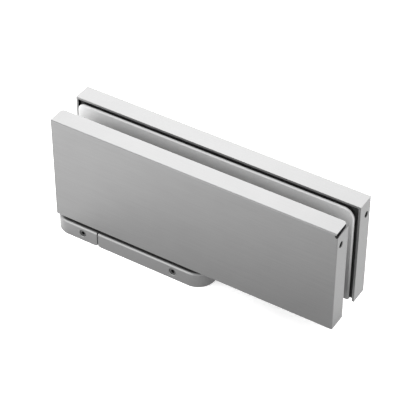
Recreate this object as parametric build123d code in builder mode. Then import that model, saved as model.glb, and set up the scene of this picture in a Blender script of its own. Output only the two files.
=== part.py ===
from build123d import *
from math import acos, cos, pi, radians, sin, tan
import os

# Hydraulic patch closer for a frameless glass door.
# X runs along the door away from its hinge edge, Y towards its rear face, Z up.
# The origin is where the pivot axis meets the floor. All sizes are in millimetres.

# ---------------------------------------------------------------- floor unit
floor_length = 118.0
floor_width = 41.5
floor_height = 11.5
floor_corner = 12.5
floor_wall = 1.5
floor_edge = 1.8
floor_seam_x = -23.1
floor_seam_gap = 0.5
floor_seam_corner = 2.0
floor_seam_edge = 0.5
base_height = 9.0
base_play = 0.3
floor_fixing_pitch_x = 92.0
floor_fixing_pitch_y = 20.0
floor_fixing_hole = 6.5
floor_fixing_head = 12.4
floor_grub_diameter = 5.0
floor_grub_x = 34.7
floor_grub_z = 6.0
floor_grub_length = 6.0
floor_grub_recess = 0.7
floor_grub_socket = 2.5
floor_grub_socket_depth = 2.0

# ---------------------------------------------------------------- covers
cover_length = 205.0
cover_height = 77.0
unit_width = 41.7
cover_depth = 13.2
cover_sheet = 1.5
cover_bend = 0.7
cover_lip_corner = 2.5
slit_recess = 0.9
slit_face_drop = 2.4
slit_lip_drop = 1.1
relief_hole = 2.2
hinge_end = 55.0
cover_ground_gap = 3.5
cover_screw_drop = 11.1
cover_screw_inset = 5.0
cover_screw_diameter = 4.0
cover_screw_recess = 1.0
screw_rim = 0.35
cover_screw_socket = 2.0
cover_screw_socket_depth = 1.2

# ---------------------------------------------------------------- glass clamp
glass_gap = 13.0
plate_thickness = 3.3
plate_top_gap = 2.3
plate_bottom_gap = 0.3
plate_hinge_gap = 0.3
plate_far_gap = 2.1
plate_hinge_corner = 5.0
plate_far_corner = 7.5
plate_foot_corner = 1.0
plate_edge_round = 1.0
end_block_grip = 6.0
end_block_gap = 0.4
end_block_face_gap = 0.8
dimple_depth = 2.5
peg_diameter = 3.0
peg_length = 2.0
peg_from_end = 9.0
running_room = 1.0
bolt_diameter = 6.0
bolt_hole = 6.6
bolt_head_diameter = 10.0
bolt_head_height = 6.0
bolt_socket = 5.0
bolt_head_gap = 0.8
top_bolt_places = (-36.0, 30.0, 86.0)
side_bolt_places = (12.0, 34.0)

# ---------------------------------------------------------------- closer body
block_cover_gap = 2.35
block_far_end = 104.0
bore_diameter = 27.0
bore_web = 1.5
bore_roof = 3.0
boss_length = 34.0
notch_play = 0.6
running_clearance = 0.05
seat_clearance = 0.02

# ---------------------------------------------------------------- spindle and bearings
drive_flats = 12.0
drive_floor = 1.5
drive_play = 0.1
collar_diameter = 18.0
lower_journal = 14.0
upper_journal = 12.0
lower_bearing_outer = 26.0
lower_bearing_height = 7.0
upper_bearing_outer = 22.0
upper_bearing_height = 5.0
seal_height = 3.0
circlip_lip = 0.7
circlip_thickness = 1.2
circlip_groove = 27.6
circlip_inner = 22.4
circlip_opening = 8.0
top_plug_diameter = 24.0
top_plug_height = 5.0
top_plug_socket = 10.0
thrust_gap = 0.05

# ---------------------------------------------------------------- rack and pinion
gear_module = 0.75
pinion_teeth = 18
pressure_angle = radians(20)
backlash = 0.10
pinion_face = 25.0
door_swing_limit = 90.0
piston_head = 8.0
piston_window_end_gap = 0.9
piston_window_side_gap = 1.0

# ---------------------------------------------------------------- springs and end caps
cap_length = 8.0
cap_socket = 8.0
cap_socket_depth = 3.5
spring_coil = 17.0
spring_wire = 2.4
spring_pocket_play = 0.6
piston_pocket = 3.0
cap_pocket = 2.0
short_spring_turns = 4
long_spring_turns = 11
spring_seat_gap = 0.1

# ---------------------------------------------------------------- seals and oil valves
ring_section = 1.7
ring_groove_width = 2.3
ring_squeeze_room = 0.05
gallery_diameter = 2.5
gallery_inset = 3.8
gallery_rise = 11.5
gallery_plug_length = 5.0
valve_diameter = 5.5
valve_head = 3.4
valve_stem = 2.4
valve_socket = 2.5
valve_socket_depth = 1.4
valve_seat_wall = 1.0
port_diameter = 2.0
port_from_cap = 3.6
valve_ring_section = 0.8
check_seat_diameter = 6.0
check_hole = 2.0
check_ball = 3.2
check_counterbore = 4.2

# ---------------------------------------------------------------- worked-out places
hinge_x = -hinge_end
far_x = hinge_x + cover_length
half_width = unit_width / 2
cover_bottom = floor_height + cover_ground_gap
cover_top = cover_bottom + cover_height
cover_screw_z = cover_top - cover_screw_drop
cover_screw_y = half_width - cover_screw_inset
block_width = unit_width - 2 * (cover_sheet + block_cover_gap)

glass_face = glass_gap / 2
plate_back = glass_face + plate_thickness
plate_left = hinge_x + cover_sheet + plate_hinge_gap
plate_right = far_x - cover_sheet - plate_far_gap
plate_bottom = cover_bottom + plate_bottom_gap
plate_top = cover_top - cover_sheet - plate_top_gap

circlip_z = plate_bottom + circlip_lip
seal_z = circlip_z + circlip_thickness
lower_bearing_z = seal_z + seal_height
lower_bearing_top = lower_bearing_z + lower_bearing_height
bore_radius = bore_diameter / 2
bore_z = lower_bearing_top + bore_web + bore_radius
block_top = bore_z + bore_radius + bore_roof
upper_bearing_z = bore_z + bore_radius + bore_web
upper_bearing_top = upper_bearing_z + upper_bearing_height
boss_top = upper_bearing_top + top_plug_height

top_bolt_z = block_top + bolt_head_diameter / 2 + bolt_head_gap
side_bolt_x = block_far_end + bolt_head_diameter / 2 + bolt_head_gap
bolt_spots = [(x, top_bolt_z) for x in top_bolt_places]
bolt_spots += [(side_bolt_x, plate_bottom + height) for height in side_bolt_places]

pitch_radius = gear_module * pinion_teeth / 2
tip_radius = pitch_radius + gear_module
root_radius = pitch_radius - 1.25 * gear_module
rack_pitch = pi * gear_module
piston_travel = pitch_radius * radians(door_swing_limit)
window_half = piston_travel + tip_radius + piston_window_end_gap
piston_half = window_half + piston_head
piston_radius = bore_radius - running_clearance

near_cap_x = plate_left + cap_length
far_cap_x = block_far_end - cap_length
gallery_y = -(block_width / 2 - gallery_inset)
gallery_z = bore_z + gallery_rise
closing_valve_x = far_cap_x - port_from_cap
latching_valve_x = near_cap_x + port_from_cap
valve_floor_y = gallery_y + gallery_diameter / 2 + valve_seat_wall

os.makedirs("parts", exist_ok=True)


def save(piece, label):
    """Name a finished piece and write it to its own STEP file."""
    piece.label = label
    export_step(piece, f"parts/{label}.step")


def seal_ring(plane, bore, section):
    """Return a round-section seal ring that just meets a bore, on the given plane."""
    with BuildPart(plane) as ring:
        Torus(bore / 2 - section / 2 - ring_squeeze_room / 2, section / 2)
    return ring.part


def hex_socket(flats):
    """Draw a hexagonal socket of the given width across flats into the open sketch."""
    RegularPolygon(flats / 2, 6, major_radius=False)


# ================================================================ floor unit
base_length = floor_length - 2 * (floor_wall + base_play)
base_width = floor_width - 2 * (floor_wall + base_play)
grub_radius = floor_grub_diameter / 2
grub_hole_depth = floor_grub_recess + floor_grub_length - floor_wall - base_play

with BuildPart() as floor_base:
    with BuildSketch():
        RectangleRounded(base_length, base_width, floor_corner - floor_wall - base_play)
    extrude(amount=base_height)
    with Locations((0, 0, base_height)):
        with GridLocations(floor_fixing_pitch_x, floor_fixing_pitch_y, 2, 2):
            CounterSinkHole(floor_fixing_hole / 2, floor_fixing_head / 2)
    with BuildSketch(Plane.XY.offset(base_height)):
        Rectangle(drive_flats + drive_play, drive_flats + drive_play)
    extrude(amount=drive_floor - base_height, mode=Mode.SUBTRACT)
    for side in (-1, 1):
        with BuildSketch(Plane.XZ.offset(side * base_width / 2)):
            with Locations((-floor_grub_x, floor_grub_z), (floor_grub_x, floor_grub_z)):
                Circle(grub_radius + seat_clearance)
        extrude(amount=-side * grub_hole_depth, mode=Mode.SUBTRACT)
save(floor_base.part, "floor_base")


# The floor cover is one shell, cut at the seam into a short and a long piece.
seam_sides = {
    "floor_cover_short": (floor_seam_x - floor_seam_gap / 2, Keep.BOTTOM),
    "floor_cover_long": (floor_seam_x + floor_seam_gap / 2, Keep.TOP),
}
for label, (seam_x, kept_side) in seam_sides.items():
    with BuildPart() as floor_cover:
        with BuildSketch():
            RectangleRounded(floor_length, floor_width, floor_corner)
        extrude(amount=floor_height)
        fillet(floor_cover.edges().group_by(Axis.Z)[-1], floor_edge)
        with BuildSketch():
            RectangleRounded(
                floor_length - 2 * floor_wall,
                floor_width - 2 * floor_wall,
                floor_corner - floor_wall,
            )
        extrude(amount=floor_height - floor_wall, mode=Mode.SUBTRACT)
        with BuildSketch(Plane.XY.offset(floor_height)):
            Circle(collar_diameter / 2 + running_room)
        extrude(amount=-floor_height, mode=Mode.SUBTRACT)
        with BuildSketch(Plane.XZ.offset(floor_width / 2)):
            with Locations((-floor_grub_x, floor_grub_z), (floor_grub_x, floor_grub_z)):
                Circle(grub_radius + seat_clearance)
        extrude(amount=-floor_width, mode=Mode.SUBTRACT)
        for side in (-1, 1):
            with BuildSketch(Plane.XZ.offset(side * floor_width / 2)):
                with Locations((-floor_grub_x, floor_grub_z), (floor_grub_x, floor_grub_z)):
                    Circle(grub_radius + seat_clearance + screw_rim)
            extrude(amount=-side * screw_rim, taper=45, mode=Mode.SUBTRACT)
        split(bisect_by=Plane((seam_x, 0, 0), z_dir=(1, 0, 0)), keep=kept_side)
        seam_edges = floor_cover.faces().filter_by(Axis.X).filter_by_position(
            Axis.X, seam_x - 0.01, seam_x + 0.01
        ).edges()
        fillet(seam_edges.filter_by(Axis.Y).group_by(Axis.Z)[0], floor_seam_corner)
        # This rounding runs on from one upright, over the top, to the other.
        seam_upright = floor_cover.edges().filter_by(Axis.Z).filter_by_position(
            Axis.X, seam_x - 0.01, seam_x + 0.01
        )
        fillet(seam_upright.group_by(Axis.Y)[0], floor_seam_edge)
    save(floor_cover.part, label)


with BuildPart() as floor_grub_screws:
    for side in (-1, 1):
        with BuildSketch(Plane.XZ.offset(side * (floor_width / 2 - floor_grub_recess))):
            with Locations((-floor_grub_x, floor_grub_z), (floor_grub_x, floor_grub_z)):
                Circle(grub_radius)
        extrude(amount=-side * floor_grub_length)
        with BuildSketch(Plane.XZ.offset(side * (floor_width / 2 - floor_grub_recess))):
            with Locations((-floor_grub_x, floor_grub_z), (floor_grub_x, floor_grub_z)):
                hex_socket(floor_grub_socket)
        extrude(amount=-side * floor_grub_socket_depth, mode=Mode.SUBTRACT)
save(floor_grub_screws.part, "floor_grub_screws")


# Spindle: a square drive in the floor base, a thrust collar, two journals and the pinion.
pinion_z = bore_z - pinion_face / 2
collar_top = lower_bearing_z - thrust_gap
spindle_top = upper_bearing_top - thrust_gap
base_radius = pitch_radius * cos(pressure_angle)
pitch_half_angle = pi / (2 * pinion_teeth) - backlash / (4 * pitch_radius)


def involute(angle):
    """Return the involute function of an angle in radians."""
    return tan(angle) - angle


def flank_point(radius, side):
    """Return the point of a tooth flank at a radius, for a tooth that points along +Y."""
    spread = pitch_half_angle + involute(pressure_angle) - involute(acos(base_radius / radius))
    return (side * radius * sin(spread), radius * cos(spread))


flank_radii = [base_radius + share * (tip_radius - base_radius) / 4 for share in range(5)]
left_flank = [flank_point(radius, -1) for radius in flank_radii]
right_flank = [flank_point(radius, 1) for radius in reversed(flank_radii)]
root_scale = (root_radius - gear_module / 2) / base_radius
left_root = (left_flank[0][0] * root_scale, left_flank[0][1] * root_scale)
right_root = (-left_root[0], left_root[1])

with BuildSketch() as pinion_tooth:
    with BuildLine():
        Line(left_root, left_flank[0])
        Spline(left_flank)
        ThreePointArc(left_flank[-1], (0, tip_radius), right_flank[0])
        Spline(right_flank)
        Line(right_flank[-1], right_root)
        Line(right_root, left_root)
    make_face()

with BuildPart() as spindle:
    with BuildSketch(Plane.XY.offset(drive_floor)):
        Rectangle(drive_flats, drive_flats)
    extrude(amount=base_height - drive_floor)
    with BuildSketch(Plane.XY.offset(base_height)):
        Circle(collar_diameter / 2)
    extrude(amount=collar_top - base_height)
    with BuildSketch(Plane.XY.offset(collar_top)):
        Circle(lower_journal / 2)
    extrude(amount=pinion_z - collar_top)
    with BuildSketch(Plane.XY.offset(pinion_z)):
        Circle(root_radius)
        with PolarLocations(0, pinion_teeth):
            add(pinion_tooth.sketch)
    extrude(amount=pinion_face)
    with BuildSketch(Plane.XY.offset(pinion_z + pinion_face)):
        Circle(upper_journal / 2)
    extrude(amount=spindle_top - pinion_z - pinion_face)
    chamfer(spindle.edges().group_by(Axis.Z)[-1], 0.5)
save(spindle.part, "spindle")


# ================================================================ closer body and clamp
with BuildSketch() as plate_outline:
    with BuildLine():
        Polyline(
            (plate_left, plate_bottom),
            (plate_right, plate_bottom),
            (plate_right, plate_top),
            (plate_left, plate_top),
            close=True,
        )
    make_face()
    fillet(plate_outline.vertices().group_by(Axis.Y)[-1].sort_by(Axis.X)[0], plate_hinge_corner)
    fillet(plate_outline.vertices().group_by(Axis.Y)[-1].sort_by(Axis.X)[-1], plate_far_corner)
    fillet(plate_outline.vertices().group_by(Axis.Y)[0], plate_foot_corner)


# Each clamp plate carries an end block at either end, which the cover's end screws press on.
# At the hinge end the blocks stand on top of the closer body.
peg_height_step = peg_from_end + plate_far_corner / 2
end_block_places = (
    (hinge_x + cover_sheet + end_block_gap, plate_left, 1, block_top + notch_play),
    (far_x - cover_sheet - end_block_gap, plate_right, -1, plate_bottom),
)
peg_spots = [
    (plate_end + direction * end_block_grip / 2, peg_z)
    for _, plate_end, direction, foot_z in end_block_places
    for peg_z in (foot_z + peg_from_end, plate_top - peg_height_step)
]


def end_blocks(side):
    """Return the two end blocks at one side of the clamp, with their pegs and screw dimples."""
    with BuildPart() as blocks:
        for end_x, plate_end, direction, foot_z in end_block_places:
            length = abs(plate_end - end_x) + end_block_grip
            with BuildSketch(Plane.XZ.offset(-side * plate_back)):
                with Locations((end_x + direction * length / 2, (foot_z + plate_top) / 2)):
                    Rectangle(length, plate_top - foot_z)
            extrude(amount=-side * (half_width - cover_sheet - end_block_face_gap - plate_back))
            with BuildSketch(Plane((end_x, side * cover_screw_y, cover_screw_z), z_dir=(direction, 0, 0))):
                Circle(cover_screw_diameter / 2 + seat_clearance)
            extrude(amount=dimple_depth, mode=Mode.SUBTRACT)
        with BuildSketch(Plane.XZ.offset(-side * plate_back)):
            with Locations(*peg_spots):
                Circle(peg_diameter / 2)
        extrude(amount=side * peg_length)
    return blocks.part


save(end_blocks(-1), "front_end_blocks")
save(end_blocks(1), "rear_end_blocks")

with BuildPart() as rear_flange:
    with BuildSketch(Plane.XZ.offset(-glass_face)):
        add(plate_outline.sketch)
    extrude(amount=-plate_thickness)
    fillet(rear_flange.edges().group_by(Axis.Y)[0], plate_edge_round)

with BuildPart() as closer_body:
    with BuildSketch(Plane.XY.offset(plate_bottom)):
        with Locations(((plate_left + block_far_end) / 2, 0)):
            Rectangle(block_far_end - plate_left, block_width)
    extrude(amount=block_top - plate_bottom)
    fillet(closer_body.edges().filter_by(Axis.X), 1.5)
    with BuildSketch(Plane.XY.offset(block_top)):
        RectangleRounded(boss_length, block_width, 3)
    extrude(amount=boss_top - block_top)
    add(rear_flange.part)
    with BuildSketch(Plane.XZ.offset(-plate_back)):
        with Locations(*peg_spots):
            Circle(peg_diameter / 2 + seat_clearance)
    extrude(amount=peg_length + seat_clearance, mode=Mode.SUBTRACT)
    # Piston bore, right through the block.
    with BuildSketch(Plane((plate_left, 0, bore_z), z_dir=(1, 0, 0))):
        Circle(bore_radius)
    extrude(amount=block_far_end - plate_left, mode=Mode.SUBTRACT)
    # Lower seats: bearing and seal, the circlip's groove, and the way in for the pinion.
    with BuildSketch(Plane.XY.offset(plate_bottom)):
        Circle(lower_bearing_outer / 2)
    extrude(amount=lower_bearing_top - plate_bottom, mode=Mode.SUBTRACT)
    with BuildSketch(Plane.XY.offset(circlip_z)):
        Circle(circlip_groove / 2)
    extrude(amount=circlip_thickness, mode=Mode.SUBTRACT)
    with BuildSketch(Plane.XY.offset(lower_bearing_top)):
        Circle(tip_radius + running_room)
    extrude(amount=bore_z - lower_bearing_top, mode=Mode.SUBTRACT)
    # Upper seats: bearing and top plug.
    with BuildSketch(Plane.XY.offset(bore_z)):
        Circle(tip_radius + running_room)
    extrude(amount=upper_bearing_z - bore_z, mode=Mode.SUBTRACT)
    with BuildSketch(Plane.XY.offset(upper_bearing_z)):
        Circle(upper_bearing_outer / 2)
    extrude(amount=upper_bearing_height, mode=Mode.SUBTRACT)
    with BuildSketch(Plane.XY.offset(upper_bearing_top)):
        Circle(top_plug_diameter / 2)
    extrude(amount=top_plug_height, mode=Mode.SUBTRACT)
    # Tapped holes of the clamp bolts.
    with BuildSketch(Plane.XZ.offset(-plate_back)):
        with Locations(*bolt_spots):
            Circle(bolt_diameter / 2 + seat_clearance)
    extrude(amount=plate_thickness, mode=Mode.SUBTRACT)
    # Oil gallery from the far end, with a valve and a port at each end of the bore.
    with BuildSketch(Plane((block_far_end, gallery_y, gallery_z), z_dir=(1, 0, 0))):
        Circle(gallery_diameter / 2)
    extrude(amount=latching_valve_x - block_far_end, mode=Mode.SUBTRACT)
    valve_spots = [(latching_valve_x, gallery_z), (closing_valve_x, gallery_z)]
    with BuildSketch(Plane.XZ.offset(block_width / 2)):
        with Locations(*valve_spots):
            Circle(valve_diameter / 2)
    extrude(amount=-(block_width / 2 + valve_floor_y), mode=Mode.SUBTRACT)
    with BuildSketch(Plane.XZ.offset(-valve_floor_y)):
        with Locations(*valve_spots):
            Circle(port_diameter / 2)
    extrude(amount=valve_floor_y, mode=Mode.SUBTRACT)
save(closer_body.part, "closer_body")


with BuildPart() as front_clamp_plate:
    with BuildSketch(Plane.XZ.offset(glass_face)):
        add(plate_outline.sketch)
    extrude(amount=plate_thickness)
    fillet(front_clamp_plate.edges().group_by(Axis.Y)[-1], plate_edge_round)
    # Notch for the block and its boss, then the bolt holes.
    with BuildSketch(Plane.XZ.offset(glass_face)):
        with Locations(((plate_left + block_far_end) / 2, (plate_bottom + block_top) / 2)):
            Rectangle(
                block_far_end - plate_left + 2 * notch_play,
                block_top - plate_bottom + 2 * notch_play,
            )
        with Locations((0, (plate_bottom + boss_top) / 2)):
            Rectangle(
                boss_length + 2 * notch_play,
                boss_top - plate_bottom + 2 * notch_play,
            )
        with Locations(*bolt_spots):
            Circle(bolt_hole / 2)
    extrude(amount=plate_thickness, mode=Mode.SUBTRACT)
    with BuildSketch(Plane.XZ.offset(plate_back)):
        with Locations(*peg_spots):
            Circle(peg_diameter / 2 + seat_clearance)
    extrude(amount=-peg_length - seat_clearance, mode=Mode.SUBTRACT)
save(front_clamp_plate.part, "front_clamp_plate")


with BuildPart() as clamp_bolts:
    with BuildSketch(Plane.XZ.offset(plate_back)):
        with Locations(*bolt_spots):
            Circle(bolt_head_diameter / 2)
    extrude(amount=bolt_head_height)
    chamfer(clamp_bolts.edges().group_by(Axis.Y)[0], 0.5)
    with BuildSketch(Plane.XZ.offset(plate_back)):
        with Locations(*bolt_spots):
            Circle(bolt_diameter / 2)
    extrude(amount=-2 * plate_back)
    with BuildSketch(Plane.XZ.offset(plate_back + bolt_head_height)):
        with Locations(*bolt_spots):
            hex_socket(bolt_socket)
    extrude(amount=-bolt_head_height / 2, mode=Mode.SUBTRACT)
save(clamp_bolts.part, "clamp_bolts")


# ================================================================ bearings and shaft seal
def turned_ring(inner, outer, height, bottom_z, edge):
    """Return a ring about the pivot axis with its outer edges broken."""
    with BuildPart() as ring:
        with BuildSketch(Plane.XY.offset(bottom_z)):
            Circle(outer)
            Circle(inner, mode=Mode.SUBTRACT)
        extrude(amount=height)
        chamfer(ring.edges().filter_by(GeomType.CIRCLE).group_by(SortBy.RADIUS)[-1], edge)
    return ring.part


lower_bearing = turned_ring(
    lower_journal / 2 + running_clearance,
    lower_bearing_outer / 2 - seat_clearance,
    lower_bearing_height,
    lower_bearing_z,
    0.5,
)
save(lower_bearing, "lower_bearing")

upper_bearing = turned_ring(
    upper_journal / 2 + running_clearance,
    upper_bearing_outer / 2 - seat_clearance,
    upper_bearing_height,
    upper_bearing_z,
    0.5,
)
save(upper_bearing, "upper_bearing")

shaft_seal = turned_ring(
    collar_diameter / 2 + running_clearance,
    lower_bearing_outer / 2 - seat_clearance,
    seal_height,
    seal_z,
    0.3,
)
save(shaft_seal, "shaft_seal")

with BuildPart() as circlip:
    with BuildSketch(Plane.XY.offset(circlip_z)):
        Circle(circlip_groove / 2 - seat_clearance)
        Circle(circlip_inner / 2, mode=Mode.SUBTRACT)
        with Locations((circlip_groove / 2, 0)):
            Rectangle(circlip_groove / 2, circlip_opening, mode=Mode.SUBTRACT)
    extrude(amount=circlip_thickness)
save(circlip.part, "circlip")


# ================================================================ plugs and end caps
with BuildPart() as top_plug:
    with BuildSketch(Plane.XY.offset(upper_bearing_top)):
        Circle(top_plug_diameter / 2 - seat_clearance)
    extrude(amount=top_plug_height)
    chamfer(top_plug.edges().group_by(Axis.Z)[-1], 0.4)
    with BuildSketch(Plane.XY.offset(upper_bearing_top + top_plug_height / 2)):
        Circle(top_plug_diameter / 2)
        Circle(top_plug_diameter / 2 - ring_section - ring_squeeze_room, mode=Mode.SUBTRACT)
    extrude(amount=ring_groove_width / 2, both=True, mode=Mode.SUBTRACT)
    with BuildSketch(Plane.XY.offset(boss_top)):
        hex_socket(top_plug_socket)
    extrude(amount=-top_plug_height / 2, mode=Mode.SUBTRACT)
save(top_plug.part, "top_plug")
save(
    seal_ring(
        Plane.XY.offset(upper_bearing_top + top_plug_height / 2), top_plug_diameter, ring_section
    ),
    "top_plug_seal",
)


def end_cap(end_x, direction):
    """Return a screwed end cap whose inner face looks along the given X direction."""
    with BuildPart(Plane((end_x, 0, bore_z), z_dir=(direction, 0, 0))) as cap:
        Cylinder(bore_radius - seat_clearance, cap_length, align=(Align.CENTER, Align.CENTER, Align.MIN))
        chamfer(cap.edges().group_by(Axis.X)[0 if direction > 0 else -1], 0.5)
    with BuildPart() as cut:
        with BuildSketch(Plane((end_x, 0, bore_z), z_dir=(direction, 0, 0))):
            hex_socket(cap_socket)
        extrude(amount=cap_socket_depth)
        with BuildSketch(Plane((end_x + direction * cap_length, 0, bore_z), z_dir=(-direction, 0, 0))):
            Circle(spring_coil / 2 + spring_wire / 2 + spring_pocket_play)
        extrude(amount=cap_pocket)
        with BuildSketch(Plane((end_x + direction * cap_length / 2, 0, bore_z), z_dir=(1, 0, 0))):
            Circle(bore_radius)
            Circle(bore_radius - ring_section - ring_squeeze_room, mode=Mode.SUBTRACT)
        extrude(amount=ring_groove_width / 2, both=True)
    return cap.part - cut.part


save(end_cap(plate_left, 1), "near_end_cap")
save(end_cap(block_far_end, -1), "far_end_cap")
for label, ring_x in (
    ("near_cap_seal", plate_left + cap_length / 2),
    ("far_cap_seal", block_far_end - cap_length / 2),
):
    save(
        seal_ring(Plane((ring_x, 0, bore_z), z_dir=(1, 0, 0)), bore_diameter, ring_section),
        label,
    )

with BuildPart() as gallery_plug:
    with BuildSketch(Plane((block_far_end, gallery_y, gallery_z), z_dir=(-1, 0, 0))):
        Circle(gallery_diameter / 2 - seat_clearance)
    extrude(amount=gallery_plug_length)
save(gallery_plug.part, "gallery_plug")


# ================================================================ piston with its rack
spring_pocket_radius = spring_coil / 2 + spring_wire / 2 + spring_pocket_play
rack_tip_y = pitch_radius - gear_module
rack_root_y = pitch_radius + 1.25 * gear_module
window_front_y = -(tip_radius + piston_window_side_gap)
space_half_tip = rack_pitch / 4 + backlash / 2 + gear_module * tan(pressure_angle)
space_half_root = rack_pitch / 4 + backlash / 2 - 1.25 * gear_module * tan(pressure_angle)
rack_spaces = 2 * int((window_half - space_half_tip) / rack_pitch) + 1

with BuildSketch() as rack_space:
    with BuildLine():
        Polyline(
            (-space_half_tip, rack_tip_y),
            (-space_half_root, rack_root_y),
            (space_half_root, rack_root_y),
            (space_half_tip, rack_tip_y),
            close=True,
        )
    make_face()

with BuildPart() as piston:
    with BuildSketch(Plane((-piston_half, 0, bore_z), z_dir=(1, 0, 0))):
        Circle(piston_radius)
    extrude(amount=2 * piston_half)
    chamfer(piston.edges().group_by(Axis.X)[0], 0.4)
    chamfer(piston.edges().group_by(Axis.X)[-1], 0.4)
    # Window for the pinion, with the rack's spaces cut into its rear wall.
    with BuildSketch(Plane.XY.offset(bore_z)):
        with Locations((0, (window_front_y + rack_tip_y) / 2)):
            Rectangle(2 * window_half, rack_tip_y - window_front_y)
        with GridLocations(rack_pitch, 0, rack_spaces, 1):
            add(rack_space.sketch)
    extrude(amount=bore_radius, both=True, mode=Mode.SUBTRACT)
    for end_x, direction in ((-piston_half, 1), (piston_half, -1)):
        with BuildSketch(Plane((end_x, 0, bore_z), z_dir=(direction, 0, 0))):
            Circle(spring_pocket_radius)
        extrude(amount=piston_pocket, mode=Mode.SUBTRACT)
        with BuildSketch(Plane((end_x, 0, bore_z), z_dir=(direction, 0, 0))):
            Circle(check_seat_diameter / 2)
        extrude(amount=piston_head, mode=Mode.SUBTRACT)
save(piston.part, "piston")


# Check valves: a seat pressed into each piston head, and a ball that lifts off it.
check_seat_length = piston_head - piston_pocket
with BuildPart() as check_valve_seats:
    for direction in (-1, 1):
        with BuildSketch(Plane((direction * window_half, 0, bore_z), z_dir=(direction, 0, 0))):
            Circle(check_seat_diameter / 2 - seat_clearance)
            Circle(check_hole / 2, mode=Mode.SUBTRACT)
        extrude(amount=check_seat_length)
        with BuildSketch(
            Plane((direction * (window_half + check_seat_length), 0, bore_z), z_dir=(-direction, 0, 0))
        ):
            Circle(check_counterbore / 2)
        extrude(amount=check_seat_length / 2, mode=Mode.SUBTRACT)
save(check_valve_seats.part, "check_valve_seats")

check_ball_x = window_half + check_seat_length / 2 + (check_ball**2 - check_hole**2) ** 0.5 / 2 + 0.02
with BuildPart() as check_valve_balls:
    with Locations((-check_ball_x, 0, bore_z), (check_ball_x, 0, bore_z)):
        Sphere(check_ball / 2)
save(check_valve_balls.part, "check_valve_balls")


# ================================================================ springs
def coil_spring(start_x, end_x, turns):
    """Return a coil spring along the bore, whose wire just clears the two seats."""
    wire_start = start_x + spring_wire / 2 + spring_seat_gap
    wire_length = end_x - start_x - spring_wire - 2 * spring_seat_gap
    with BuildPart() as spring:
        with BuildLine() as wire:
            Helix(
                wire_length / turns,
                wire_length,
                spring_coil / 2,
                center=(wire_start, 0, bore_z),
                direction=(1, 0, 0),
            )
        with BuildSketch(Plane(wire.line @ 0, z_dir=wire.line % 0)):
            Circle(spring_wire / 2)
        sweep(path=wire.line, is_frenet=True)
    return spring.part


near_seat_x = near_cap_x - cap_pocket
far_seat_x = far_cap_x + cap_pocket
piston_seat_x = piston_half - piston_pocket
save(coil_spring(near_seat_x, -piston_seat_x, short_spring_turns), "short_spring")
save(coil_spring(piston_seat_x, far_seat_x, long_spring_turns), "long_spring")


# ================================================================ regulating valves
valve_ring_groove = valve_ring_section + 0.2
for label, valve_x in (("closing_valve", closing_valve_x), ("latching_valve", latching_valve_x)):
    front_plane = Plane((valve_x, -block_width / 2, gallery_z), z_dir=(0, 1, 0))
    valve_reach = block_width / 2 + valve_floor_y
    with BuildPart() as valve:
        with BuildSketch(front_plane):
            Circle(valve_diameter / 2 - running_clearance)
        extrude(amount=valve_head)
        with BuildSketch(front_plane.offset(valve_head)):
            Circle(valve_stem / 2)
        extrude(amount=valve_reach - valve_head - running_clearance)
        chamfer(valve.edges().group_by(Axis.Y)[-1], port_diameter / 4)
        with BuildSketch(front_plane.offset(valve_head / 2)):
            Circle(valve_diameter / 2)
            Circle(valve_diameter / 2 - valve_ring_section - 2 * ring_squeeze_room, mode=Mode.SUBTRACT)
        extrude(amount=valve_ring_groove / 2, both=True, mode=Mode.SUBTRACT)
        with BuildSketch(front_plane):
            hex_socket(valve_socket)
        extrude(amount=valve_socket_depth, mode=Mode.SUBTRACT)
    save(valve.part, label)
    save(
        seal_ring(front_plane.offset(valve_head / 2), valve_diameter - ring_squeeze_room, valve_ring_section),
        f"{label}_seal",
    )


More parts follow.
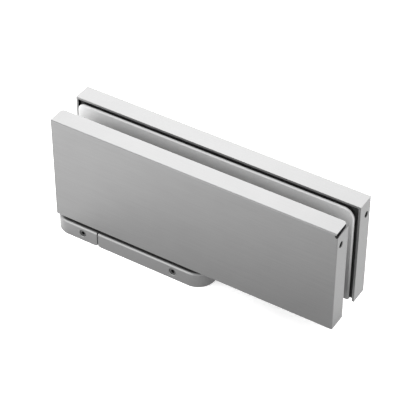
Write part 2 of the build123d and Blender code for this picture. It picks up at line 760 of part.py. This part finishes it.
# ================================================================ covers
def folded_cover(side, lip_corner, slit):
    """Return one sheet cover: a face, a top flange and two end flanges, open below and inside.

    With a slit, the far end flange stops short of the top flange, which stops short of the
    end, and a relief hole takes the corner of the face between the two folds.
    """
    face_y = side * half_width
    lip_y = side * (half_width - cover_depth)
    flange_top = cover_top - cover_sheet
    slit_edge = (cover_top - slit_face_drop, cover_top - slit_lip_drop)
    far_edge = slit_edge if slit else (flange_top, flange_top)
    top_far_x = far_x - slit_recess if slit else far_x
    with BuildPart() as cover:
        with BuildSketch(Plane.XZ.offset(-face_y)):
            with Locations(((hinge_x + far_x) / 2, (cover_bottom + cover_top) / 2)):
                Rectangle(cover_length, cover_height)
        extrude(amount=side * cover_sheet)
        for end_x, direction, (face_top, lip_top) in (
            (hinge_x, 1, (flange_top, flange_top)),
            (far_x, -1, far_edge),
        ):
            with BuildSketch(Plane.YZ.offset(end_x)):
                with BuildLine():
                    Polyline(
                        (face_y, cover_bottom),
                        (face_y, face_top),
                        (lip_y, lip_top),
                        (lip_y, cover_bottom),
                        close=True,
                    )
                make_face()
            extrude(amount=direction * cover_sheet)
        with BuildSketch(Plane.XY.offset(cover_top)) as top_flange:
            with Locations(((hinge_x + top_far_x) / 2, (face_y + lip_y) / 2)):
                Rectangle(top_far_x - hinge_x, cover_depth)
            if lip_corner > 0:
                lip_corners = top_flange.vertices().sort_by(Axis.Y)
                fillet(lip_corners[2:] if side < 0 else lip_corners[:2], lip_corner)
        extrude(amount=-cover_sheet)
        face_edges = cover.edges().filter_by_position(Axis.Y, face_y - 0.01, face_y + 0.01)
        fillet(face_edges.filter_by(Axis.Z) + face_edges.group_by(Axis.Z)[-1], cover_bend)
        if slit:
            with BuildSketch(Plane.XZ.offset(-face_y)):
                with Locations((far_x - slit_recess / 2, cover_top - slit_face_drop / 2)):
                    Rectangle(slit_recess, slit_face_drop)
                with Locations((top_far_x, flange_top - slit_recess / 2)):
                    Circle(relief_hole / 2)
            extrude(amount=side * cover_sheet, mode=Mode.SUBTRACT)
        with BuildSketch(Plane.YZ.offset(far_x)):
            with Locations((side * cover_screw_y, cover_screw_z)):
                Circle(cover_screw_diameter / 2 + seat_clearance)
        extrude(amount=-cover_length, mode=Mode.SUBTRACT)
        for end_x, direction in ((hinge_x, 1), (far_x, -1)):
            with BuildSketch(Plane.YZ.offset(end_x)):
                with Locations((side * cover_screw_y, cover_screw_z)):
                    Circle(cover_screw_diameter / 2 + seat_clearance + screw_rim)
            extrude(amount=direction * screw_rim, taper=45, mode=Mode.SUBTRACT)
    return cover.part


save(folded_cover(-1, cover_lip_corner, True), "front_cover")
save(folded_cover(1, 0, False), "rear_cover")

# Grub screws in the end flanges, pressing into the end blocks.
screw_length = cover_sheet + end_block_gap + dimple_depth - cover_screw_recess
with BuildPart() as cover_screws:
    for end_x, direction in ((hinge_x, 1), (far_x, -1)):
        for side in (-1, 1):
            head_plane = Plane(
                (end_x + direction * cover_screw_recess, side * cover_screw_y, cover_screw_z),
                z_dir=(direction, 0, 0),
            )
            with BuildSketch(head_plane):
                Circle(cover_screw_diameter / 2)
            extrude(amount=screw_length)
            with BuildSketch(head_plane):
                hex_socket(cover_screw_socket)
            extrude(amount=cover_screw_socket_depth, mode=Mode.SUBTRACT)
save(cover_screws.part, "cover_screws")
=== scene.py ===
import logging
import math
from dataclasses import dataclass, field
from enum import Enum
from typing import Union

import bmesh
import bpy
from mathutils import Matrix, Vector


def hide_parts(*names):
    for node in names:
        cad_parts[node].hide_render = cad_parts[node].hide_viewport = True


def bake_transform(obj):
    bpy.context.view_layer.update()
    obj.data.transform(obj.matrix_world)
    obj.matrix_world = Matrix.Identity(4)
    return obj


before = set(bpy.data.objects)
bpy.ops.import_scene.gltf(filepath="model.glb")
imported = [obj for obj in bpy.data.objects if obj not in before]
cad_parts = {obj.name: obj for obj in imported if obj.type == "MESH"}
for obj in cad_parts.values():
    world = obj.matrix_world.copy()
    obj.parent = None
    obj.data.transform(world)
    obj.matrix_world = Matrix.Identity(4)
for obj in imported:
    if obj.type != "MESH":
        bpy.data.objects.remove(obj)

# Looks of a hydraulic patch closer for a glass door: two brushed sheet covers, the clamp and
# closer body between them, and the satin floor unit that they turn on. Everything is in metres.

LOG = logging.getLogger("patch_closer")
Colour = tuple[float, float, float, float]
Place = tuple[float, float, float]


class GrainAxis(Enum):
    """Direction in which a surface was brushed, as the stretch of its grain pattern."""

    ALONG_X = (0.02, 1.0, 1.0)
    NONE = (1.0, 1.0, 1.0)


class Signal:
    """A number that runs through a material's nodes, with the usual arithmetic."""

    def __init__(self, sheet: "FinishSheet", socket: bpy.types.NodeSocket) -> None:
        """Wrap a socket.

        Args:
            sheet: The sheet that new Math nodes are added to.
            socket: The output socket that carries the value.
        """
        self.sheet = sheet
        self.socket = socket

    def _math(self, operation: str, first: "Value", second: "Value") -> "Signal":
        """Add one Math node.

        Args:
            operation: Blender's name for the operation.
            first: The left-hand value.
            second: The right-hand value.

        Returns:
            The result as a new signal.
        """
        return self.sheet.node("ShaderNodeMath", {"operation": operation}, {0: first, 1: second})

    def __add__(self, other: "Value") -> "Signal":
        """Return this value plus another."""
        return self._math("ADD", self, other)

    def __radd__(self, other: "Value") -> "Signal":
        """Return another value plus this one."""
        return self._math("ADD", other, self)

    def __mul__(self, other: "Value") -> "Signal":
        """Return this value times another."""
        return self._math("MULTIPLY", self, other)

    def __rmul__(self, other: "Value") -> "Signal":
        """Return another value times this one."""
        return self._math("MULTIPLY", other, self)

    def __gt__(self, other: "Value") -> "Signal":
        """Return 1 where this value is the greater, else 0."""
        return self._math("GREATER_THAN", self, other)

    def __lt__(self, other: "Value") -> "Signal":
        """Return 1 where this value is the lesser, else 0."""
        return self._math("LESS_THAN", self, other)

    def __abs__(self) -> "Signal":
        """Return this value without its sign."""
        return self._math("ABSOLUTE", self, 0.0)


Value = Union[Signal, float, int]


class FinishSheet:
    """One material being drawn up, node by node."""

    def __init__(self, name: str) -> None:
        """Start an empty material.

        Args:
            name: The material's name.
        """
        self.material = bpy.data.materials.new(name)
        self.material.use_nodes = True
        self.tree = self.material.node_tree
        self.tree.nodes.clear()

    def node(
        self,
        kind: str,
        settings: dict[str, object] | None = None,
        inputs: dict[str | int, object] | None = None,
        output: str | int = 0,
    ) -> Signal:
        """Add a node, set it up and connect it.

        Args:
            kind: The node's type, such as "ShaderNodeBump".
            settings: Attributes of the node, set before its sockets.
            inputs: A value or a signal for each socket, by name or number.
            output: The output socket to hand back.

        Returns:
            The chosen output as a signal.
        """
        made = self.tree.nodes.new(kind)
        for attribute, value in (settings or {}).items():
            setattr(made, attribute, value)
        for socket, value in (inputs or {}).items():
            if isinstance(value, Signal):
                self.tree.links.new(value.socket, made.inputs[socket])
            else:
                made.inputs[socket].default_value = value
        return Signal(self, made.outputs[output])

    def place(self, stretch: Place, density: float) -> Signal:
        """Return Object coordinates, stretched along the grain.

        Args:
            stretch: How far each axis is stretched, 1 for not at all.
            density: Pattern cells per metre across the grain.

        Returns:
            The stretched coordinates.
        """
        spot = self.node("ShaderNodeTexCoord", output="Object")
        scale = Vector(stretch) * density
        return self.node("ShaderNodeMapping", inputs={"Vector": spot, "Scale": scale})

    def noise(self, stretch: Place, density: float, detail: float, roughness: float) -> Signal:
        """Return a noise pattern.

        Args:
            stretch: How far each axis is stretched, 1 for not at all.
            density: Pattern cells per metre across the grain.
            detail: How many finer layers it has.
            roughness: How strong the finer layers are.

        Returns:
            The pattern, 0 to 1.
        """
        return self.node(
            "ShaderNodeTexNoise",
            inputs={
                "Vector": self.place(stretch, density),
                "Scale": 1.0,
                "Detail": detail,
                "Roughness": roughness,
            },
        )

    def bump(self, height: Signal, depth: float, strength: float) -> Signal:
        """Return a surface normal that follows a pattern's height.

        Args:
            height: The pattern, 0 to 1.
            depth: Metres between its lowest and its highest.
            strength: How much of it is felt, 0 to 1.

        Returns:
            The normal.
        """
        return self.node(
            "ShaderNodeBump",
            inputs={"Height": height, "Distance": depth, "Strength": strength},
        )

    def axes(self, output: str) -> tuple[Signal, Signal, Signal]:
        """Return a place's or a normal's parts along X, Y and Z.

        Args:
            output: "Object" for the place, "Normal" for the way the surface faces.

        Returns:
            The three parts.
        """
        whole = self.node("ShaderNodeTexCoord", output=output)
        parts = self.node("ShaderNodeSeparateXYZ", inputs={0: whole})
        outputs = parts.socket.node.outputs
        return Signal(self, outputs[0]), Signal(self, outputs[1]), Signal(self, outputs[2])

    def blend(
        self, share: Value, low: Union[Signal, Colour], high: Union[Signal, Colour]
    ) -> Signal:
        """Mix two colours.

        Args:
            share: 0 for the first colour, 1 for the second.
            low: The first colour.
            high: The second colour.

        Returns:
            The mixed colour.
        """
        mix = self.tree.nodes.new("ShaderNodeMix")
        mix.data_type = "RGBA"
        for socket, value in ((mix.inputs[0], share), (mix.inputs[6], low), (mix.inputs[7], high)):
            if isinstance(value, Signal):
                self.tree.links.new(value.socket, socket)
            else:
                socket.default_value = value
        return Signal(self, mix.outputs[2])

    def finish(self, sockets: dict[str, object]) -> bpy.types.Material:
        """Close the material with a Principled shader.

        Args:
            sockets: A value or a signal for each of the shader's sockets.

        Returns:
            The finished material.
        """
        shader = self.node("ShaderNodeBsdfPrincipled", inputs=sockets)
        surface = self.tree.nodes.new("ShaderNodeOutputMaterial")
        self.tree.links.new(shader.socket, surface.inputs["Surface"])
        return self.material


def grey(level: float, warmth: float = 0.0) -> Colour:
    """Return an opaque grey.

    Args:
        level: Brightness, 0 to 1.
        warmth: How far red is raised and blue is lowered.

    Returns:
        The colour.
    """
    return (level * (1 + warmth), level, level * (1 - warmth), 1.0)


@dataclass(frozen=True)
class BrushedSheet:
    """Satin stainless sheet: fine straight grain, a faint broad mottle, and duller cut edges.

    The grain runs along the door. The sheared lips that face the glass are duller than the
    brushed faces. In the front cover's open corner, the cut end of the top flange and the slit
    under it are painted near black for the shade that falls in them.
    """

    name: str = "brushed_sheet"
    level: float = 0.141
    contrast: float = 0.16
    roughness: float = 0.34
    roughness_spread: float = 0.12
    grain: GrainAxis = GrainAxis.ALONG_X
    grain_per_metre: float = 1500.0
    grain_depth: float = 0.00004
    grain_strength: float = 0.5
    grain_detail: float = 4.0
    grain_fineness: float = 0.7
    mottle_per_metre: float = 55.0
    mottle_detail: float = 2.0
    mottle_fineness: float = 0.5
    line_share: float = 0.8
    square_on: float = 0.9
    aslant: float = 0.6
    lip: float = 0.0078
    lip_level: float = 0.21
    lip_roughness: float = 0.65
    open_corner: float = 0.1485
    open_corner_floor: float = 0.0895
    corner_shade_level: float = 0.03
    slit_floor: float = 0.0885
    slit_roof: float = 0.0912
    slit_shade_level: float = 0.06

    def material(self) -> bpy.types.Material:
        """Draw up the material."""
        sheet = FinishSheet(self.name)
        lines = sheet.noise(
            self.grain.value, self.grain_per_metre, self.grain_detail, self.grain_fineness
        )
        mottle = sheet.noise(
            GrainAxis.NONE.value, self.mottle_per_metre, self.mottle_detail, self.mottle_fineness
        )
        along, across, up = sheet.axes("Object")
        facing_along, facing_across, facing_up = sheet.axes("Normal")
        lip = (abs(across) < self.lip) * (abs(facing_across) > self.square_on)
        # Painted shade: the cut end of the top flange and the slit under it, in the front cover's
        # open corner, are coloured near black for the shade that falls in them.
        corner = (along > self.open_corner) * (up > self.open_corner_floor)
        painted_corner_shade = corner * (across < 0.0) * (facing_along > self.square_on)
        slit = (along > self.open_corner) * (up > self.slit_floor) * (up < self.slit_roof)
        painted_slit_shade = slit * (across < 0.0) * (facing_up > self.aslant)
        shade = self.line_share * lines + (1 - self.line_share) * mottle
        brushed = sheet.blend(
            shade, grey(self.level * (1 - self.contrast)), grey(self.level * (1 + self.contrast))
        )
        edged = sheet.blend(lip, brushed, grey(self.lip_level))
        ended = sheet.blend(painted_corner_shade, edged, grey(self.corner_shade_level))
        colour = sheet.blend(painted_slit_shade, ended, grey(self.slit_shade_level))
        smoothest = self.roughness - self.roughness_spread / 2
        brushed_roughness = smoothest + self.roughness_spread * lines
        return sheet.finish(
            {
                "Base Color": colour,
                "Metallic": 1.0,
                "Roughness": brushed_roughness + lip * (self.lip_roughness - self.roughness),
                "Normal": sheet.bump(lines, self.grain_depth, self.grain_strength),
            }
        )


@dataclass(frozen=True)
class CastMetal:
    """Matt cast or plated metal: a fine peppered grain without direction.

    Given a band width, the metal keeps its own colour only within that band round the door's
    middle plane, is painted near black beyond it for the shade in the gaps between the plates
    and the covers, and is painted darker towards its foot for the shade there. Given a rim
    level, the rounded upper edge is painted to that brightness as a highlight.
    """

    name: str
    level: float
    metallic: float
    roughness: float
    grain_per_metre: float = 1800.0
    grain_depth: float = 0.00003
    warmth: float = 0.0
    unshaded_within: float = 0.0
    gap_shade_level: float = 0.012
    foot: float = 0.025
    head: float = 0.085
    foot_shade_share: float = 0.3
    rim_highlight_level: float = 0.0
    rim_start: float = 0.2
    rim_end: float = 0.95
    contrast: float = 0.14
    roughness_spread: float = 0.12
    grain_strength: float = 0.4
    grain_detail: float = 4.0
    grain_fineness: float = 0.65

    def material(self) -> bpy.types.Material:
        """Draw up the material."""
        sheet = FinishSheet(self.name)
        pepper = sheet.noise(
            GrainAxis.NONE.value, self.grain_per_metre, self.grain_detail, self.grain_fineness
        )
        colour = sheet.blend(
            pepper,
            grey(self.level * (1 - self.contrast), self.warmth),
            grey(self.level * (1 + self.contrast), self.warmth),
        )
        if self.unshaded_within > 0:
            # Painted shade: beyond the band round the door's middle plane the casting is coloured
            # near black for the shade in the gaps between the plates and the covers, and it is
            # coloured darker towards its foot for the shade that falls there.
            _, across, up = sheet.axes("Object")
            height = sheet.node(
                "ShaderNodeMapRange", inputs={0: up, 1: self.foot, 2: self.head}
            )
            painted_foot_shade = grey(self.level * self.foot_shade_share, self.warmth)
            foot_shaded = sheet.blend(height, painted_foot_shade, colour)
            painted_gap_shade = abs(across) > self.unshaded_within
            colour = sheet.blend(painted_gap_shade, foot_shaded, grey(self.gap_shade_level))
        if self.rim_highlight_level > 0:
            # Painted highlight: the rounded upper edge is coloured brighter than the rest of the
            # metal.
            facing_up = sheet.axes("Normal")[2]
            painted_rim_highlight = (facing_up > self.rim_start) * (facing_up < self.rim_end)
            colour = sheet.blend(painted_rim_highlight, colour, grey(self.rim_highlight_level, self.warmth))
        smoothest = self.roughness - self.roughness_spread / 2
        return sheet.finish(
            {
                "Base Color": colour,
                "Metallic": self.metallic,
                "Roughness": smoothest + self.roughness_spread * pepper,
                "Normal": sheet.bump(pepper, self.grain_depth, self.grain_strength),
            }
        )


@dataclass(frozen=True)
class Finishes:
    """Every finish on the closer."""

    cover: BrushedSheet = BrushedSheet()
    # The floor covers carry a painted highlight on their rounded top edge.
    floor_cover: CastMetal = CastMetal(
        "satin_floor_cover",
        level=0.14,
        metallic=0.85,
        roughness=0.42,
        grain_per_metre=1500.0,
        grain_depth=0.00001,
        rim_highlight_level=0.18,
    )
    # The casting carries painted shade: near black beyond the plates' faces and darker towards its
    # foot.
    casting: CastMetal = CastMetal(
        "cast_aluminium", level=0.54, metallic=0.3, roughness=0.65, unshaded_within=0.0078
    )
    zinc: CastMetal = CastMetal(
        "zinc_plate", level=0.46, metallic=1.0, roughness=0.34, warmth=0.01
    )
    hardened: CastMetal = CastMetal(
        "ground_steel",
        level=0.36,
        metallic=1.0,
        roughness=0.24,
        grain_per_metre=2600.0,
        grain_depth=0.00001,
    )
    spring: CastMetal = CastMetal(
        "oiled_spring_steel", level=0.14, metallic=0.9, roughness=0.34
    )
    grub: CastMetal = CastMetal("grub_screw_steel", level=0.07, metallic=0.9, roughness=0.45)
    brass: CastMetal = CastMetal(
        "turned_brass", level=0.50, metallic=1.0, roughness=0.28, warmth=0.38
    )
    black: CastMetal = CastMetal("black_oxide", level=0.035, metallic=0.7, roughness=0.42)
    nitrile: CastMetal = CastMetal("nitrile_rubber", level=0.02, metallic=0.0, roughness=0.6)
    nylon: CastMetal = CastMetal("black_nylon", level=0.008, metallic=0.0, roughness=0.65)


def coat(nodes: tuple[str, ...], material: bpy.types.Material) -> None:
    """Give solids their finish.

    Args:
        nodes: The names of the solids.
        material: The finish that they all get.
    """
    for name in nodes:
        solid = bpy.data.objects[name]
        for slot in solid.material_slots:
            slot.material = material
        if not solid.material_slots:
            solid.data.materials.append(material)
        LOG.info("dressed %s in %s", name, material.name)


@dataclass
class Covers:
    """The two folded sheet covers and the grub screws in their ends."""

    finishes: Finishes
    sheets: tuple[str, ...] = ("front_cover", "rear_cover")
    screws: tuple[str, ...] = ("cover_screws",)

    def dress(self) -> None:
        """Dress the covers and their screws."""
        coat(self.sheets, self.finishes.cover.material())
        coat(self.screws, self.finishes.black.material())


@dataclass(frozen=True)
class CoilSpring:
    """A coil spring in the bore, which the piston presses on.

    It stands for the solid of the same name, and takes its place and width from it.
    """

    node: str
    turns: int
    piston_beyond: bool
    wire_radius: float = 0.0012
    wire_sides: int = 12
    steps_per_turn: int = 32
    slot: str = "spring_steel"

    def wind(self, low: Vector, high: Vector) -> bpy.types.Mesh:
        """Wind the wire along the bore.

        Args:
            low: The low corner of the solid's box.
            high: The high corner of the solid's box.

        Returns:
            The closed mesh of the wire.
        """
        middle = (low + high) / 2
        coil_radius = (high.z - low.z) / 2 - self.wire_radius
        steps = self.turns * self.steps_per_turn
        advance = (high.x - low.x - 2 * self.wire_radius) / steps
        start = Vector((low.x + self.wire_radius, middle.y + coil_radius, middle.z))
        wire = bmesh.new()
        bmesh.ops.create_circle(
            wire,
            segments=self.wire_sides,
            radius=self.wire_radius,
            matrix=Matrix.Translation(start),
        )
        bmesh.ops.spin(
            wire,
            geom=wire.verts[:] + wire.edges[:],
            cent=middle,
            axis=(1.0, 0.0, 0.0),
            dvec=(advance, 0.0, 0.0),
            angle=math.tau * self.turns,
            steps=steps,
        )
        rims = [edge for edge in wire.edges if edge.is_boundary]
        bmesh.ops.holes_fill(wire, edges=rims, sides=self.wire_sides)
        bmesh.ops.recalc_face_normals(wire, faces=wire.faces[:])
        for face in wire.faces:
            is_cut_end = len(face.verts) == self.wire_sides
            face.smooth = not is_cut_end
        mesh = bpy.data.meshes.new(f"{self.node}_wire")
        wire.to_mesh(mesh)
        wire.free()
        return mesh

    def fit(self, material: bpy.types.Material) -> None:
        """Put the spring in the solid's place, between the body and the piston.

        Args:
            material: Its finish.
        """
        solid = bpy.data.objects[self.node]
        corners = [solid.matrix_world @ Vector(corner) for corner in solid.bound_box]
        low = Vector([min(corner[axis] for corner in corners) for axis in range(3)])
        high = Vector([max(corner[axis] for corner in corners) for axis in range(3)])
        coil = bpy.data.objects.new(f"{self.node}_coil", self.wind(low, high))
        coil.data.materials.append(material)
        bpy.context.scene.collection.objects.link(coil)
        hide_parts(self.node)
        fixed, moving = (low, high) if self.piston_beyond else (high, low)
        moving.y, moving.z = fixed.y, fixed.z
        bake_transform(coil)
        LOG.info("wound %s in %d turns", coil.name, self.turns)


@dataclass
class ClosingUnit:
    """The closer body between the covers, with its clamp and all that it holds."""

    finishes: Finishes
    castings: tuple[str, ...] = ("closer_body", "front_clamp_plate")
    plated: tuple[str, ...] = ("clamp_bolts", "top_plug", "near_end_cap", "far_end_cap")
    ground: tuple[str, ...] = ("piston", "lower_bearing", "upper_bearing", "check_valve_balls")
    blocks: tuple[str, ...] = ("front_end_blocks", "rear_end_blocks")
    sprung: tuple[str, ...] = ("circlip",)
    springs: tuple[CoilSpring, ...] = (
        CoilSpring("short_spring", 4, piston_beyond=True),
        CoilSpring("long_spring", 11, piston_beyond=False),
    )
    turned: tuple[str, ...] = (
        "closing_valve",
        "latching_valve",
        "gallery_plug",
        "check_valve_seats",
    )
    seals: tuple[str, ...] = (
        "shaft_seal",
        "top_plug_seal",
        "near_cap_seal",
        "far_cap_seal",
        "closing_valve_seal",
        "latching_valve_seal",
    )

    def dress(self) -> None:
        """Dress the body, the clamp and the mechanism."""
        coat(self.castings, self.finishes.casting.material())
        coat(self.plated, self.finishes.zinc.material())
        coat(self.ground, self.finishes.hardened.material())
        spring_steel = self.finishes.spring.material()
        coat(self.sprung, spring_steel)
        for spring in self.springs:
            spring.fit(spring_steel)
        coat(self.turned, self.finishes.brass.material())
        coat(self.seals, self.finishes.nitrile.material())
        coat(self.blocks, self.finishes.nylon.material())


@dataclass
class FloorUnit:
    """The floor base with its two covers, their grub screws and the spindle."""

    finishes: Finishes
    covers: tuple[str, ...] = ("floor_cover_short", "floor_cover_long")

    def dress(self) -> None:
        """Dress the floor unit."""
        coat(self.covers, self.finishes.floor_cover.material())
        coat(("floor_base",), self.finishes.zinc.material())
        coat(("spindle",), self.finishes.hardened.material())
        coat(("floor_grub_screws",), self.finishes.grub.material())


@dataclass(frozen=True)
class SoftBox:
    """A square studio light that faces the part.

    Azimuth and elevation are in degrees, distance and side in metres and power in watts.
    """

    name: str
    azimuth: float
    elevation: float
    distance: float
    side: float
    power: float


@dataclass
class Studio:
    """The floor with a round pool of light, the soft boxes, the sky and the camera."""

    aim: Place = (0.0427, 0.0, 0.05503)
    azimuth: float = 31.903
    elevation: float = 40.71
    distance: float = 1.11085
    focal_length: float = 159.836
    sensor_width: float = 36.0
    floor_side: float = 6.0
    floor_level: float = 0.95
    floor_roughness: float = 0.9
    floor_glow: float = 0.32
    pool_glow: float = 1.6
    pool_centre: Place = (-0.15, -0.22, 0.0)
    pool_radius: float = 0.328
    sky: float = 1.25
    boxes: tuple[SoftBox, ...] = field(
        default_factory=lambda: (
            SoftBox("key_box", 212.0, 42.0, 1.3, 0.9, 14.0),
            SoftBox("front_box", -31.0, 15.0, 1.5, 1.5, 22.0),
        )
    )

    def spot(self, azimuth: float, elevation: float, distance: float) -> Vector:
        """Return a place around the part.

        Args:
            azimuth: Degrees round the part, 0 in front of it and 90 past its far end.
            elevation: Degrees above the horizon.
            distance: Metres from the point of aim.

        Returns:
            The place, in metres.
        """
        turn, rise = math.radians(azimuth), math.radians(elevation)
        flat = math.cos(rise)
        direction = Vector((flat * math.sin(turn), -flat * math.cos(turn), math.sin(rise)))
        return Vector(self.aim) + distance * direction

    def face(self, thing: bpy.types.Object, place: Vector) -> None:
        """Put a light or the camera at a place and turn it to the point of aim.

        Args:
            thing: The light or camera.
            place: Where it stands.
        """
        thing.location = place
        thing.rotation_euler = (Vector(self.aim) - place).to_track_quat("-Z", "Y").to_euler()

    def lay_floor(self) -> None:
        """Lay the floor, which glows faintly all over and strongly in its pool."""
        mesh = bpy.data.meshes.new("floor")
        grid = bmesh.new()
        bmesh.ops.create_grid(grid, x_segments=1, y_segments=1, size=self.floor_side / 2)
        grid.to_mesh(mesh)
        grid.free()
        floor = bpy.data.objects.new("floor", mesh)
        bpy.context.scene.collection.objects.link(floor)
        sheet = FinishSheet("pale_floor")
        spot = sheet.node("ShaderNodeTexCoord", output="Object")
        offset = sheet.node(
            "ShaderNodeVectorMath",
            {"operation": "SUBTRACT"},
            {0: spot, 1: self.pool_centre},
        )
        reach = sheet.node(
            "ShaderNodeMapping", inputs={"Vector": offset, "Scale": (1 / self.pool_radius,) * 3}
        )
        pool = sheet.node("ShaderNodeTexGradient", {"gradient_type": "SPHERICAL"}, {0: reach}, 1)
        brightest = self.floor_glow + self.pool_glow
        mesh.materials.append(
            sheet.finish(
                {
                    "Base Color": grey(self.floor_level),
                    "Roughness": self.floor_roughness,
                    "Emission Color": sheet.blend(
                        pool, grey(self.floor_glow / brightest), grey(1.0)
                    ),
                    "Emission Strength": brightest,
                }
            )
        )

    def light(self) -> None:
        """Hang the soft boxes and set the sky."""
        for box in self.boxes:
            lamp = bpy.data.lights.new(box.name, "AREA")
            lamp.shape = "SQUARE"
            lamp.size = box.side
            lamp.energy = box.power
            holder = bpy.data.objects.new(box.name, lamp)
            bpy.context.scene.collection.objects.link(holder)
            self.face(holder, self.spot(box.azimuth, box.elevation, box.distance))
        world = bpy.data.worlds.new("studio")
        world.use_nodes = True
        world.node_tree.nodes["Background"].inputs["Color"].default_value = grey(1.0)
        world.node_tree.nodes["Background"].inputs["Strength"].default_value = self.sky
        bpy.context.scene.world = world

    def set_camera(self) -> None:
        """Stand the camera in front of the far end, above the part."""
        lens = bpy.data.cameras.new("camera")
        lens.lens = self.focal_length
        lens.sensor_width = self.sensor_width
        camera = bpy.data.objects.new("camera", lens)
        bpy.context.scene.collection.objects.link(camera)
        self.face(camera, self.spot(self.azimuth, self.elevation, self.distance))
        bpy.context.scene.camera = camera
        bpy.context.scene.view_settings.view_transform = "Standard"

    def build(self) -> None:
        """Lay the floor, light it and set the camera."""
        self.lay_floor()
        self.light()
        self.set_camera()
        LOG.info("studio ready with %d soft boxes", len(self.boxes))


def main() -> None:
    """Dress the part and set up the studio."""
    logging.basicConfig(level=logging.INFO)
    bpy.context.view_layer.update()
    finishes = Finishes()
    for assembly in (FloorUnit(finishes), ClosingUnit(finishes), Covers(finishes)):
        assembly.dress()
    Studio().build()


if __name__ == "__main__":
    main()
